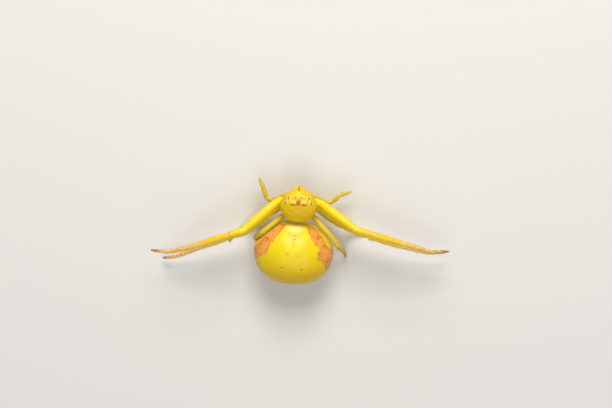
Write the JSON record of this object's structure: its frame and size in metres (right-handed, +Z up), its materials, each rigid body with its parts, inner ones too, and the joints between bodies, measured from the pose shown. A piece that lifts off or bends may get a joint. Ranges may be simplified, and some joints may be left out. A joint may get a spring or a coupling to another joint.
{
  "type": "crab spider",
  "caption": "Still, life-size crab spider with a broad round abdomen and its long front legs held open to the sides.",
  "frame": {"origin": "on the floor, below the middle of the model's box", "axes": "+Z up, -Y the way the head points, +X the animal's left"},
  "size_m": [0.0236, 0.0086, 0.0045],
  "materials": {
    "body_cuticle": "smooth, softly shining yellow cuticle",
    "limb_cuticle": "smooth, slightly translucent pale yellow cuticle",
    "foot_cuticle": "smooth amber cuticle",
    "eye_lens": "polished dark lens"
  },
  "bodies": {
    "root": {"cephalothorax": "body_cuticle", "abdomen": "body_cuticle", "chelicera_left": "body_cuticle", "chelicera_right": "body_cuticle", "leg1_left_femur": "body_cuticle", "leg1_right_femur": "body_cuticle", "leg2_left_femur": "body_cuticle", "leg2_right_femur": "body_cuticle", "leg3_left_femur": "body_cuticle", "leg3_right_femur": "body_cuticle", "leg4_left_femur": "body_cuticle", "leg4_right_femur": "body_cuticle", "leg1_left_tibia": "limb_cuticle", "leg1_right_tibia": "limb_cuticle", "leg2_left_tibia": "limb_cuticle", "leg2_right_tibia": "limb_cuticle", "leg3_left_tibia": "limb_cuticle", "leg3_right_tibia": "limb_cuticle", "leg4_left_tibia": "limb_cuticle", "leg4_right_tibia": "limb_cuticle", "palp_left": "limb_cuticle", "palp_right": "limb_cuticle", "spinnerets": "foot_cuticle", "leg1_left_foot": "foot_cuticle", "leg1_right_foot": "foot_cuticle", "leg2_left_foot": "foot_cuticle", "leg2_right_foot": "foot_cuticle", "leg3_left_foot": "foot_cuticle", "leg3_right_foot": "foot_cuticle", "leg4_left_foot": "foot_cuticle", "leg4_right_foot": "foot_cuticle", "eye_anterior_median_left": "eye_lens", "eye_anterior_median_right": "eye_lens", "eye_anterior_lateral_left": "eye_lens", "eye_anterior_lateral_right": "eye_lens", "eye_posterior_median_left": "eye_lens", "eye_posterior_median_right": "eye_lens", "eye_posterior_lateral_left": "eye_lens", "eye_posterior_lateral_right": "eye_lens"}
  },
  "joints": []
}
